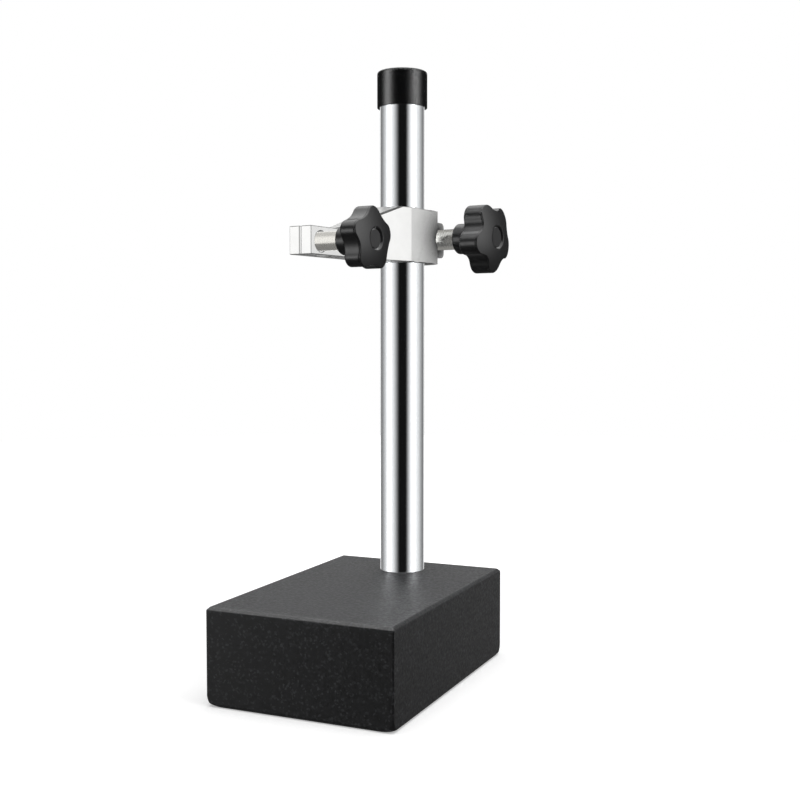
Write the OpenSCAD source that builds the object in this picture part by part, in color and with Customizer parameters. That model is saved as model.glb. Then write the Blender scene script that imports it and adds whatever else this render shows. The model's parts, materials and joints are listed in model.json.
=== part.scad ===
// Comparator stand: a granite block carries a round column, and a split arm
// clamps on the column and holds an indicator by its stem.
// The origin is at the middle of the block's underside. +Z is up and +Y runs
// from the front of the block towards the column.

/* [Granite base] */
// Width of the block, from side to side
base_width = 102; // [90:1:140]
// Length of the block, from front to back
base_length = 150; // [130:1:220]
// Height of the block
base_height = 50; // [40:1:80]
// Bevel along every edge of the block
base_bevel = 1.5; // [0.5:0.1:3]

/* [Column] */
// Diameter of the column
column_d = 25; // [20:0.5:30]
// Length of the column above the block
column_length = 278; // [240:1:400]
// Distance from the column's axis to the back face of the block
column_setback = 25; // [20:1:40]
// Bevel round both ends of the column
column_bevel = 0.8; // [0.3:0.1:1.5]

/* [Column cap] */
// Height of the cap
cap_height = 20; // [12:1:30]
// Side wall of the cap
cap_wall = 1.5; // [1:0.1:3]
// Top wall of the cap
cap_top = 3; // [2:0.5:5]
// Radius round the top edge of the cap
cap_edge = 1.2; // [0.5:0.1:1.8]

/* [Bolt under the column] */
// Thread diameter of the bolt
bolt_d = 10; // [8:1:12]
// Length of thread that the bolt has in the column
bolt_grip = 20; // [12:1:30]
// Height of the bolt's head
bolt_head_h = 10; // [8:0.5:12]
// Diameter of the bolt's head
bolt_head_d = 16; // [14:0.5:18]
// Thickness of the flat washer
washer_t = 2; // [1.5:0.1:3]
// Diameter of the flat washer
washer_d = 20; // [18:0.5:24]
// Thickness of the spring washer
lock_washer_t = 2.2; // [1.5:0.1:3]
// Depth that the bolt's head lies below the underside of the block
bolt_sunk = 0.8; // [0.3:0.1:3]

/* [Clamp arm] */
// Height of the arm's underside above the block
arm_lift = 174.2; // [80:0.1:220]
// Angle by which the arm is swung from the block's centre line
arm_swivel = -8.5; // [-180:0.5:180]
// Wall of the round boss outside the column
boss_wall = 8; // [6:0.5:12]
// Height of the boss
boss_height = 29.8; // [24:0.1:40]
// Distance from the column's axis to the axis of the indicator's stem
stem_reach = 76; // [60:1:110]
// Diameter of the indicator's stem
stem_d = 8; // [6:0.5:9.5]
// Width of the arm at its tip
tip_width = 13.6; // [13:0.1:18]
// Height of the arm at its tip
tip_height = 14.2; // [13:0.1:20]
// Length of the arm beyond the axis of the stem's clamp screw
tip_margin = 8.2; // [7:0.1:12]
// Distance from the stem's axis back to the foot of the ramp
ramp_setback = 9.6; // [6:0.1:12]
// Distance from the edge of the boss out to the head of the ramp
ramp_head_gap = 1.7; // [0.5:0.1:6]
// Distance from the stem's axis back to where the arm widens
flare_setback = 26.6; // [14:0.1:34]
// Width of the arm where it joins the boss
flare_width = 29.8; // [24:0.1:34]
// Bevel along the edges of the ramp
ramp_bevel = 1.3; // [0.5:0.1:3]
// Slit between the two jaws that hold the stem
jaw_slit = 1; // [0.6:0.1:1.6]
// Length of the jaws behind the stem's axis
jaw_depth = 13; // [8:0.5:18]
// Slit at the back of the boss
boss_slit = 2; // [1:0.1:3]

/* [Clamp ears] */
// Width over both ears
ear_width = 24; // [20:0.5:30]
// Height of the ears
ear_height = 20; // [16:0.5:24]
// Length of the ears beyond the axis of their screw
ear_margin = 7.5; // [6:0.1:12]
// Radius on the corners of the ears
ear_corner = 3; // [1:0.1:5]
// Wall between the column's bore and the hole for the screw
ear_screw_wall = 1.5; // [1:0.1:4]

/* [Column clamp screw] */
// Thread diameter of the column's clamp screw
column_screw_d = 8; // [6:0.5:9]
// Diameter of the sleeve on the column's clamp screw
column_sleeve_d = 11.6; // [10.6:0.2:15]
// Length of the sleeve on the column's clamp screw
column_sleeve_length = 14.2; // [8:0.1:24]
// Height of the column's clamp screw above the arm's underside
column_screw_lift = 14; // [11:0.1:18]

/* [Column clamp knob] */
// Diameter over the lobes of the column's knob
column_knob_d = 39.4; // [37:0.2:50]
// Length of the column's knob
column_knob_length = 25.5; // [24:0.5:34]
// Diameter between the lobes of the column's knob
column_knob_root_d = 29.5; // [25:0.5:31]
// Radius at the end of each lobe of the column's knob
column_knob_lobe_r = 6.5; // [5.5:0.1:8]
// Diameter of the hub of the column's knob
column_hub_d = 17; // [15.5:0.5:22]
// Length of the hub of the column's knob
column_hub_length = 10.5; // [6:0.5:13]
// Diameter of the disc in the face of the column's knob
column_disc_d = 12; // [10:0.5:14]
// Angle by which the column's knob is turned from a lobe that points straight down
column_lobe_angle = -2; // [-36:1:36]

/* [Stem clamp screw] */
// Thread diameter of the stem's clamp screw
stem_screw_d = 6; // [4:0.5:7]
// Diameter of the sleeve on the stem's clamp screw
stem_sleeve_d = 9.6; // [8:0.2:11]
// Length of the sleeve that stands out of the jaw
stem_sleeve_length = 13.4; // [6:0.1:24]
// Depth of the sleeve's seat in the jaw
sleeve_seat_depth = 3; // [1:0.1:4]
// Gap round the sleeve in its seat
sleeve_seat_gap = 0.5; // [0.2:0.1:0.8]
// Wall between the stem's bore and the seat of the sleeve
stem_screw_wall = 1.2; // [1:0.1:4]
// Height of the stem's clamp screw above the arm's underside
stem_screw_lift = 6.6; // [6.5:0.1:8]

/* [Stem clamp knob] */
// Diameter over the lobes of the stem's knob
stem_knob_d = 32.2; // [30:0.2:40]
// Length of the stem's knob
stem_knob_length = 20.4; // [18.5:0.1:28]
// Diameter between the lobes of the stem's knob
stem_knob_root_d = 25.6; // [22:0.2:27]
// Radius at the end of each lobe of the stem's knob
stem_knob_lobe_r = 5; // [4.4:0.1:5.8]
// Diameter of the hub of the stem's knob
stem_hub_d = 14.8; // [13:0.2:18]
// Length of the hub of the stem's knob
stem_hub_length = 8.5; // [4:0.5:10.5]
// Diameter of the disc in the face of the stem's knob
stem_disc_d = 10.4; // [8:0.2:12]
// Angle by which the stem's knob is turned from a lobe that points straight up
stem_lobe_angle = -1; // [-36:1:36]

/* [Knob details] */
// Number of lobes round a knob
lobes = 5; // [4:1:6]
// Radius of the domed face of a knob
knob_face_r = 58; // [42:1:90]
// Radius round the back rim of a knob
knob_back_r = 3; // [1.5:0.1:4]
// Radius round the front rim of a knob
knob_front_r = 0.8; // [0.5:0.1:2]
// Wall of the threaded bush in a knob
bush_wall = 2; // [1:0.1:2.5]
// Length by which the face of a knob stands over its bush
bush_cover = 6; // [5.5:0.1:9]
// Thickness of the disc in the face of a knob
disc_t = 1.6; // [1:0.1:2]
// Depth of the disc below the edge of its recess
disc_sunk = 0.9; // [0.3:0.1:1.2]
// Width of the slope between the edge of the recess and the disc
disc_slope = 1.4; // [0.5:0.1:1.8]

/* [Fits] */
// Clearance round a turning or sliding piece
running_fit = 0.05; // [0.02:0.01:0.1]
// Clearance round a pressed or moulded piece
seat_fit = 0.02; // [0.01:0.01:0.05]
// Clearance round a screw that passes through a plain hole
screw_gap = 0.4; // [0.3:0.1:0.8]

/* [Hidden] */
$fn = 48;

// Amount by which a cutting shape runs past the face that it opens
past = 1;
// Colours of the pieces
granite_grey = "#4b4d50";
chrome_silver = "#c9ccd0";
aluminium_silver = "#d4d5d3";
zinc_silver = "#b9bbbd";
brass_yellow = "#b8963f";
knob_black = "#2a2a2b";
disc_black = "#303032";

// Places on the column
column_r = column_d / 2;
column_y = base_length / 2 - column_setback;
column_top = base_height + column_length;
cap_bottom = column_top + cap_top - cap_height;
cap_r = column_r + seat_fit + cap_wall;

// Places of the bolt, from the underside of the block upwards
bolt_head_top = bolt_sunk + bolt_head_h;
lock_washer_top = bolt_head_top + lock_washer_t;
pocket_depth = lock_washer_top + washer_t;
pocket_r = washer_d / 2 + 1;
bolt_hole_r = bolt_d / 2 + screw_gap;
bolt_tip = base_height + bolt_grip;
socket_across = bolt_d * 0.8;
socket_depth = bolt_head_h / 2;

// Places of the arm, from the column's axis outwards
arm_bottom = base_height + arm_lift;
arm_top = arm_bottom + boss_height;
tip_top = arm_bottom + tip_height;
boss_r = column_r + boss_wall;
bore_r = column_r + running_fit;
stem_r = stem_d / 2;
seat_r = stem_sleeve_d / 2 + sleeve_seat_gap;
stem_screw_reach = stem_reach + stem_r + stem_screw_wall + seat_r;
arm_reach = stem_screw_reach + tip_margin;
ramp_foot = stem_reach - ramp_setback;
ramp_head = boss_r + ramp_head_gap;
flare_start = stem_reach - flare_setback;
flare_half = flare_width / 2;
flare_end = sqrt(boss_r * boss_r - flare_half * flare_half);
jaw_end = stem_reach - jaw_depth;

// Places of the ears, behind the column's axis
ear_screw_reach = bore_r + ear_screw_wall + column_screw_d / 2 + screw_gap;
ear_reach = ear_screw_reach + ear_margin;

// Places along the two screws, from the middle plane of the arm outwards
column_screw_z = arm_bottom + column_screw_lift;
stem_screw_z = arm_bottom + stem_screw_lift;
column_sleeve_start = ear_width / 2 + seat_fit;
column_hub_start = column_sleeve_start + column_sleeve_length + running_fit;
stem_sleeve_start = tip_width / 2 - sleeve_seat_depth;
stem_hub_start = tip_width / 2 + stem_sleeve_length + running_fit;
column_bush_length = column_knob_length - bush_cover;
stem_bush_length = stem_knob_length - bush_cover;
// Length by which a screw's end stays inside the ear or jaw that it is threaded in
screw_end_inset = 0.5;
// Bevel on the ends of screws and sleeves
small_bevel = 0.5;

// A block with a bevel along each of its edges, centred on Z and standing at zero
module bevelled_block(size, bevel) {
    module face(a, b) {
        polygon([
            [-a / 2 + bevel, -b / 2], [a / 2 - bevel, -b / 2],
            [a / 2, -b / 2 + bevel], [a / 2, b / 2 - bevel],
            [a / 2 - bevel, b / 2], [-a / 2 + bevel, b / 2],
            [-a / 2, b / 2 - bevel], [-a / 2, -b / 2 + bevel],
        ]);
    }
    translate([0, 0, size.z / 2]) intersection() {
        linear_extrude(size.z, center = true) face(size.x, size.y);
        rotate([90, 0, 0]) linear_extrude(size.y, center = true) face(size.x, size.z);
        rotate([90, 0, 90]) linear_extrude(size.x, center = true) face(size.y, size.z);
    }
}

// A round rod from zero upwards with a bevel at both ends
module bevelled_rod(r, length, bevel) {
    rotate_extrude()
        polygon([
            [0, 0], [r - bevel, 0], [r, bevel], [r, length - bevel], [r - bevel, length], [0, length],
        ]);
}

// A round tube from zero upwards with a bevel at both outer ends
module bevelled_tube(r, bore, length, bevel) {
    difference() {
        bevelled_rod(r, length, bevel);
        translate([0, 0, -past]) cylinder(r = bore, h = length + 2 * past);
    }
}

// Moves a shape from the column's axis to the column's place on the block
module at_column() {
    translate([0, column_y, 0]) children();
}

// The arm's own frame: its origin is on the column's axis, and it points along -Y
module at_arm() {
    at_column() rotate([0, 0, arm_swivel]) children();
}

// A screw's frame: its axis is +Z, which points out of the arm's side along the arm's +X
module at_screw(reach, height, start) {
    at_arm() translate([start, -reach, height]) rotate([0, 90, 0]) children();
}

module at_column_screw(start) {
    at_screw(-ear_screw_reach, column_screw_z, start) children();
}

module at_stem_screw(start) {
    at_screw(stem_screw_reach, stem_screw_z, start) children();
}

module granite_base() {
    color(granite_grey) difference() {
        bevelled_block([base_width, base_length, base_height], base_bevel);
        at_column() {
            translate([0, 0, -past]) cylinder(r = bolt_hole_r, h = base_height + 2 * past);
            translate([0, 0, -past]) cylinder(r = pocket_r, h = pocket_depth + past);
        }
    }
}

module column_bolt() {
    color(zinc_silver) at_column() difference() {
        union() {
            translate([0, 0, bolt_sunk]) bevelled_rod(bolt_head_d / 2, bolt_head_h, small_bevel);
            translate([0, 0, bolt_head_top - small_bevel])
                bevelled_rod(bolt_d / 2, bolt_tip - bolt_head_top + small_bevel, small_bevel);
        }
        translate([0, 0, bolt_sunk - past])
            cylinder(d = socket_across / cos(30), h = socket_depth + past, $fn = 6);
    }
}

module bolt_washer() {
    color(zinc_silver) at_column() translate([0, 0, lock_washer_top])
        bevelled_tube(washer_d / 2, bolt_d / 2 + seat_fit, washer_t, small_bevel / 2);
}

// A ring that is split across one side
module bolt_lock_washer() {
    color(zinc_silver) at_column() translate([0, 0, bolt_head_top]) difference() {
        bevelled_tube(bolt_head_d / 2, bolt_d / 2 + seat_fit, lock_washer_t, small_bevel / 2);
        rotate([0, 20, 0]) translate([0, -washer_t / 2, -lock_washer_t * 2])
            cube([bolt_head_d, washer_t / 2, lock_washer_t * 4]);
    }
}

module column() {
    color(chrome_silver) at_column() translate([0, 0, base_height]) difference() {
        bevelled_rod(column_r, column_length, column_bevel);
        translate([0, 0, -past]) cylinder(r = bolt_d / 2 + running_fit, h = bolt_grip + bolt_d / 2 + past);
    }
}

module column_cap() {
    color(knob_black) at_column() translate([0, 0, cap_bottom]) difference() {
        rotate_extrude() union() {
            square([cap_r, cap_height - cap_edge]);
            square([cap_r - cap_edge, cap_height]);
            translate([cap_r - cap_edge, cap_height - cap_edge]) circle(r = cap_edge, $fn = 24);
        }
        translate([0, 0, -past]) cylinder(r = column_r + seat_fit, h = cap_height - cap_top + past);
    }
}

// Cuts a flat outline of the arm, given from above, to the arm's outline from the side
module ramped() {
    intersection() {
        translate([0, 0, arm_bottom]) linear_extrude(boss_height) children();
        rotate([90, 0, -90]) linear_extrude(2 * boss_r + 2 * past, center = true)
            polygon([
                [-boss_r - past, arm_bottom], [arm_reach, arm_bottom], [arm_reach, tip_top],
                [ramp_foot, tip_top], [ramp_head, arm_top], [-boss_r - past, arm_top],
            ]);
    }
}

// Cuts the edge between the ramp and a side face, with the flat of the cut halfway between the two.
// The side face goes through a place at the side of the arm and is given by its direction.
module ramp_edge_cut(side, face) {
    slope = (arm_top - tip_top) / (ramp_foot - ramp_head);
    ramp_face = [0, -slope, 1] / norm([0, slope, 1]);
    out = (ramp_face + face) / norm(ramp_face + face);
    line = cross(ramp_face, face);
    along = line / norm(line);
    across = cross(out, along);
    place = [side * tip_width / 2, -flare_start, tip_top + (ramp_foot - flare_start) * slope];
    multmatrix([
        [along.x, across.x, out.x, place.x],
        [along.y, across.y, out.y, place.y],
        [along.z, across.z, out.z, place.z],
    ])
        translate([-arm_reach, -arm_reach, -ramp_bevel / 2]) cube([2 * arm_reach, 2 * arm_reach, arm_reach]);
}

// The arm as one solid: a straight bar, the part that widens to the boss, and the tip
module arm_blank() {
    widening = flare_half - tip_width / 2;
    flare_length = flare_start - flare_end;
    difference() {
        ramped() translate([-tip_width / 2, -arm_reach]) square([tip_width, arm_reach]);
        for (side = [-1, 1])
            ramp_edge_cut(side, [side, 0, 0]);
    }
    difference() {
        ramped() {
            circle(r = boss_r);
            polygon([
                [0, 0], [-flare_half, -flare_end],
                [0, -flare_start - flare_length * tip_width / 2 / widening], [flare_half, -flare_end],
            ]);
        }
        for (side = [-1, 1])
            ramp_edge_cut(side, [side * flare_length, -widening, 0] / norm([flare_length, widening, 0]));
    }
    translate([-tip_width / 2, -arm_reach, arm_bottom]) cube([tip_width, arm_reach, tip_height]);
}

// The pair of ears behind the boss, rounded as seen from the side
module ears() {
    translate([0, 0, column_screw_z]) rotate([90, 0, 90])
        linear_extrude(ear_width, center = true)
            hull() {
                for (z = [-1, 1])
                    translate([ear_reach - ear_corner, z * (ear_height / 2 - ear_corner)])
                        circle(r = ear_corner, $fn = 32);
                translate([bore_r, -ear_height / 2]) square([past, ear_height]);
            }
}

module clamp_arm() {
    color(aluminium_silver) at_arm() difference() {
        union() {
            arm_blank();
            ears();
        }
        // Bore for the column, and the slit that lets it close
        translate([0, 0, arm_bottom - past]) cylinder(r = bore_r, h = boss_height + 2 * past);
        translate([-boss_slit / 2, 0, arm_bottom - past])
            cube([boss_slit, ear_reach + past, boss_height + 2 * past]);
        // Bore for the indicator's stem, and the slit between the jaws
        translate([0, -stem_reach, arm_bottom - past]) cylinder(r = stem_r, h = tip_height + 2 * past);
        translate([-jaw_slit / 2, -arm_reach - past, arm_bottom - past])
            cube([jaw_slit, arm_reach - jaw_end + past, boss_height + 2 * past]);
        translate([0, -jaw_end, arm_bottom - past]) cylinder(r = jaw_slit, h = boss_height + 2 * past);
        // Holes for the column's screw: plain in the near ear, with a seat for its sleeve beside
        // the boss, and threaded in the far ear
        translate([0, ear_screw_reach, column_screw_z]) rotate([0, 90, 0]) {
            cylinder(r = column_screw_d / 2 + screw_gap, h = boss_r + past);
            translate([0, 0, column_sleeve_start])
                cylinder(r = column_sleeve_d / 2 + sleeve_seat_gap, h = boss_r);
            translate([0, 0, -boss_r - past])
                cylinder(r = column_screw_d / 2 + running_fit, h = boss_r + past);
        }
        // Holes for the stem's screw, with a seat for its sleeve in the near jaw
        translate([0, -stem_screw_reach, stem_screw_z]) rotate([0, 90, 0]) {
            cylinder(r = stem_screw_d / 2 + screw_gap, h = tip_width);
            translate([0, 0, stem_sleeve_start]) cylinder(r = seat_r, h = tip_width);
            translate([0, 0, -tip_width]) cylinder(r = stem_screw_d / 2 + running_fit, h = tip_width);
        }
    }
}

// Radius of a knob's outline at an angle from the middle of a lobe.
// Each lobe is an arc, and a smaller arc between two lobes touches both.
function lobe_centre(d, lobe_r) = d / 2 - lobe_r;
function hollow_r(d, root_r, lobe_r, c) =
    let (p = lobe_centre(d, lobe_r))
    (p * p + root_r * root_r - 2 * p * root_r * c - lobe_r * lobe_r) / (2 * (lobe_r + p * c - root_r));
function star_radius(angle, d, root_r, lobe_r) =
    let (
        half = 180 / lobes,
        turned = abs((angle + half) % (2 * half) - half),
        p = lobe_centre(d, lobe_r),
        b = hollow_r(d, root_r, lobe_r, cos(half)),
        q = root_r + b,
        share = lobe_r / (lobe_r + b),
        meet = atan2(q * sin(half) * share, p + (q * cos(half) - p) * share),
        away = half - turned
    )
    turned < meet
        ? p * cos(turned) + sqrt(lobe_r * lobe_r - pow(p * sin(turned), 2))
        : q * cos(away) - sqrt(b * b - pow(q * sin(away), 2));

// Height of a knob's domed face at a distance from its axis, where the top of the dome is given
function face_height(top, r) = top - knob_face_r + sqrt(knob_face_r * knob_face_r - r * r);

// The rings of a knob's head, from the back to the face, each as a list of [distance, height].
// They go round the back rim, up the straight sides, round the front rim at the edge of the dome,
// and in over the dome to a circle.
function head_rings(outline, back, top, end_r) = concat(
    [for (a = [0 : 30 : 90])
        [for (r = outline) [r - knob_back_r * (1 - sin(a)), back + knob_back_r * (1 - cos(a))]]],
    [for (a = [0 : 45 : 45])
        [for (r = outline) [
            r - knob_front_r * (1 - cos(a)),
            face_height(top, r - knob_front_r) - knob_front_r * (1 - sin(a)),
        ]]],
    [for (share = [1, 0.8, 0.55, 0.3, 0])
        [for (r = outline)
            let (inner = share * (r - knob_front_r) + (1 - share) * end_r)
            [inner, face_height(top, inner)]]]
);

// The head of a star knob, as rings of points joined by bands of faces
module star_head(d, root_r, lobe_r, back, top, end_r) {
    steps = 12 * lobes;
    outline = [for (i = [0 : steps - 1]) star_radius(360 * i / steps, d, root_r, lobe_r)];
    rings = head_rings(outline, back, top, end_r);
    points = [
        for (ring = rings, i = [0 : steps - 1])
            let (angle = 360 * i / steps)
            [ring[i][0] * cos(angle), ring[i][0] * sin(angle), ring[i][1]]
    ];
    bands = [
        for (k = [0 : len(rings) - 2], i = [0 : steps - 1])
            let (j = (i + 1) % steps, low = k * steps, high = low + steps)
            each [[low + i, high + i, high + j], [low + i, high + j, low + j]]
    ];
    last = (len(rings) - 1) * steps;
    back_face = [for (i = [0 : steps - 1]) i];
    middle_face = [for (i = [steps - 1 : -1 : 0]) last + i];
    polyhedron(points, concat([back_face], bands, [middle_face]));
}

// Height of the top of a disc in its knob, below the edge of the recess round it
function disc_top(length, disc_r) = face_height(length, disc_r + disc_slope) - disc_sunk;

// A star knob with its axis on Z: the hub starts at zero and the domed face is at the top
module star_knob(d, length, root_d, lobe_r, hub_d, hub_length, bush_r, bush_length, disc_d) {
    disc_r = disc_d / 2;
    seat = disc_top(length, disc_r);
    // The slope is cut on past the dome, at the same angle
    cut = disc_sunk + past;
    difference() {
        union() {
            star_head(d, root_d / 2, lobe_r, hub_length, length, disc_r / 2);
            bevelled_rod(hub_d / 2, hub_length + knob_back_r, small_bevel * 2);
        }
        translate([0, 0, -past]) cylinder(r = bush_r + seat_fit, h = bush_length + past);
        translate([0, 0, seat - disc_t]) cylinder(r = disc_r, h = disc_t + past);
        translate([0, 0, seat]) cylinder(r1 = disc_r, r2 = disc_r + disc_slope * cut / disc_sunk, h = cut);
    }
}

// The threaded bush that is moulded into a knob
module knob_bush(bush_r, screw_d, length) {
    bevelled_tube(bush_r, screw_d / 2 + seat_fit, length, small_bevel / 2);
}

// The round disc that closes the face of a knob, placed in a knob of a given length
module knob_disc(length, disc_d) {
    translate([0, 0, disc_top(length, disc_d / 2) - disc_t])
        bevelled_rod(disc_d / 2 - running_fit, disc_t, small_bevel / 2);
}

module column_sleeve() {
    color(zinc_silver) at_column_screw(column_sleeve_start)
        bevelled_tube(column_sleeve_d / 2, column_screw_d / 2 + running_fit,
            column_sleeve_length, small_bevel);
}

module column_screw() {
    screw_start = -ear_width / 2 + screw_end_inset;
    color(zinc_silver) at_column_screw(screw_start)
        bevelled_rod(column_screw_d / 2, column_hub_start + column_bush_length - screw_start, small_bevel);
}

module column_knob() {
    color(knob_black) at_column_screw(column_hub_start) rotate([0, 0, column_lobe_angle])
        star_knob(column_knob_d, column_knob_length, column_knob_root_d, column_knob_lobe_r, column_hub_d,
            column_hub_length, column_screw_d / 2 + bush_wall, column_bush_length, column_disc_d);
}

module column_knob_bush() {
    color(brass_yellow) at_column_screw(column_hub_start)
        knob_bush(column_screw_d / 2 + bush_wall, column_screw_d, column_bush_length);
}

module column_knob_disc() {
    color(disc_black) at_column_screw(column_hub_start) knob_disc(column_knob_length, column_disc_d);
}

module stem_sleeve() {
    color(zinc_silver) at_stem_screw(stem_sleeve_start)
        bevelled_tube(stem_sleeve_d / 2, stem_screw_d / 2 + running_fit,
            sleeve_seat_depth + stem_sleeve_length, small_bevel);
}

module stem_screw() {
    screw_start = -tip_width / 2 + screw_end_inset;
    color(zinc_silver) at_stem_screw(screw_start)
        bevelled_rod(stem_screw_d / 2, stem_hub_start + stem_bush_length - screw_start, small_bevel);
}

module stem_knob() {
    color(knob_black) at_stem_screw(stem_hub_start) rotate([0, 0, 180 + stem_lobe_angle])
        star_knob(stem_knob_d, stem_knob_length, stem_knob_root_d, stem_knob_lobe_r, stem_hub_d,
            stem_hub_length, stem_screw_d / 2 + bush_wall, stem_bush_length, stem_disc_d);
}

module stem_knob_bush() {
    color(brass_yellow) at_stem_screw(stem_hub_start)
        knob_bush(stem_screw_d / 2 + bush_wall, stem_screw_d, stem_bush_length);
}

module stem_knob_disc() {
    color(disc_black) at_stem_screw(stem_hub_start) knob_disc(stem_knob_length, stem_disc_d);
}

granite_base();
column_bolt();
bolt_washer();
bolt_lock_washer();
column();
column_cap();
clamp_arm();
column_sleeve();
column_screw();
column_knob();
column_knob_bush();
column_knob_disc();
stem_sleeve();
stem_screw();
stem_knob();
stem_knob_bush();
stem_knob_disc();
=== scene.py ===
"""Finished looks of the comparator stand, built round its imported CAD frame.

Each operator builds one piece or one group of like pieces in the frame's own axes, in metres.
The studio operator adds the floor, the lamps, the reflecting walls and the camera.
"""

import json
import math
from collections import namedtuple

import bmesh
import bpy
import numpy as np
from bpy.props import (
    FloatProperty, FloatVectorProperty, IntProperty, PointerProperty, StringProperty,
)
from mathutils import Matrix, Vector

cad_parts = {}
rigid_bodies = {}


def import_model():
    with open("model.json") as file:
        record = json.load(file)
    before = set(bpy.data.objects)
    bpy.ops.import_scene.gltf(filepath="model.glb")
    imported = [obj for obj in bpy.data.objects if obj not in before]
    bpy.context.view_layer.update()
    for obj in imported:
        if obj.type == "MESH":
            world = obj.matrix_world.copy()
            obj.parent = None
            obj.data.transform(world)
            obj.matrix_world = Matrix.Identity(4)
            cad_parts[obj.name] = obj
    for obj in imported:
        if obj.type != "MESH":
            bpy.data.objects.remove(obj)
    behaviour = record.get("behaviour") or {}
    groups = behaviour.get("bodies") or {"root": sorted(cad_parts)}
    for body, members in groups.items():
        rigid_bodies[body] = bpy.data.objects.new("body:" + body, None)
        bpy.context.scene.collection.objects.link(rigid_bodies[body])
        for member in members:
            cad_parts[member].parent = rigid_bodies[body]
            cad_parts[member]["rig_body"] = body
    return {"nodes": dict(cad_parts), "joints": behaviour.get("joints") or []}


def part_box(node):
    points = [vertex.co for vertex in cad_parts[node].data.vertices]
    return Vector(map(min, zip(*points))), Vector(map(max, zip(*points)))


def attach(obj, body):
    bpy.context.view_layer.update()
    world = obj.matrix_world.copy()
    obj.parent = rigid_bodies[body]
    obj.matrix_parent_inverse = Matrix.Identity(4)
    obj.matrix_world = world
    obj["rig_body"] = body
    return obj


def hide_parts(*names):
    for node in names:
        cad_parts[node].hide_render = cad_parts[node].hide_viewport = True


bl_info = {
    "name": "Comparator stand",
    "version": (1, 0, 0),
    "blender": (4, 5, 0),
    "location": "View3D > Sidebar > Stand",
    "description": "Builds the finished pieces, the materials and the studio of a comparator stand",
    "category": "Object",
}

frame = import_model()

MM = 0.001
TURN = 2 * math.pi

# Distance from an edge to the points that keep the flat beside it flat, and the same on the
# granite, which has softer edges
SUPPORT = 0.05 * MM
STONE_SUPPORT = 0.3 * MM
# Slack for measures that are taken from the solids' corners
SLACK = 0.02 * MM

# Name of a piece, the CAD node that it stands for, its material and its slot
Part = namedtuple("Part", "name node material slot")


# ---- places taken from the frame

def read_rows(items, key, width, kind=np.float32):
    """One property of all items of a mesh, as an array with a row for each item."""
    values = np.empty(len(items) * width, kind)
    items.foreach_get(key, values)
    return values.reshape(-1, width)


def joint_named(name):
    """The record's entry of one joint."""
    return next(joint for joint in frame["joints"] if joint["name"] == name)


class Axis:
    """A straight line with a right-handed set of directions, on which turned pieces are laid out.

    A point has a distance along the line, a distance out from it, and an angle that starts at the
    first side direction and turns towards the second.
    """

    def __init__(self, origin, along, start):
        self.origin = np.array(origin, float)
        self.along = np.array(along, float) / np.linalg.norm(along)
        self.start = np.array(start, float)
        self.side = np.cross(self.along, self.start)

    def place(self, along, out, angle):
        """Turns arrays of distance along, distance out and angle into points."""
        along, out, angle = np.broadcast_arrays(along, out, angle)
        return (
            self.origin
            + along[..., None] * self.along
            + (out * np.cos(angle))[..., None] * self.start
            + (out * np.sin(angle))[..., None] * self.side
        )

    def measure(self, node):
        """Distance along, distance out and angle of every corner of a CAD node."""
        offset = read_rows(frame["nodes"][node].data.vertices, "co", 3) - self.origin
        x = offset @ self.start
        y = offset @ self.side
        return offset @ self.along, np.hypot(x, y), np.arctan2(y, x)

    def span(self, node):
        """Start, end and largest distance out of a CAD node."""
        along, out, _ = self.measure(node)
        return along.min(), along.max(), out.max()


column_low, column_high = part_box("column")
COLUMN_AXIS = Axis(
    ((column_low.x + column_high.x) / 2, (column_low.y + column_high.y) / 2, 0),
    (0, 0, 1),
    (1, 0, 0),
)
column_screw_joint = joint_named("column_knob_turn")
stem_screw_joint = joint_named("stem_knob_turn")
COLUMN_SCREW_AXIS = Axis(column_screw_joint["pos_m"], column_screw_joint["axis"], (0, 0, -1))
STEM_SCREW_AXIS = Axis(stem_screw_joint["pos_m"], stem_screw_joint["axis"], (0, 0, 1))
# From the arm's tip towards its ears
BACKWARDS = tuple(np.cross(COLUMN_AXIS.along, COLUMN_SCREW_AXIS.along).tolist())


# ---- numpy surfaces

def rounded_profile(corners, rounds, steps=4, support=0.04 * MM):
    """A polyline of (along, out) with each inner corner replaced by a curve.

    The curve is the quadratic Bezier through corner + cut towards the last corner, the corner and
    corner + cut towards the next one, where cut is the corner's round. One more point on each side,
    a support length further off, keeps the flats flat when the surface is shaded smooth.
    """
    corners = np.array(corners, float)
    middle = corners[1:-1]
    cut = np.array(rounds, float)[:, None]
    back = corners[:-2] - middle
    ahead = corners[2:] - middle
    back /= np.linalg.norm(back, axis=1)[:, None]
    ahead /= np.linalg.norm(ahead, axis=1)[:, None]
    t = np.linspace(0, 1, steps + 1)[None, :, None]
    first = (middle + back * cut)[:, None]
    last = (middle + ahead * cut)[:, None]
    curve = (1 - t) ** 2 * first + 2 * t * (1 - t) * middle[:, None] + t**2 * last
    before = (middle + back * (cut + support))[:, None]
    after = (middle + ahead * (cut + support))[:, None]
    bent = np.concatenate([before, curve, after], axis=1).reshape(-1, 2)
    return np.concatenate([corners[:1], bent, corners[-1:]])


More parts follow.
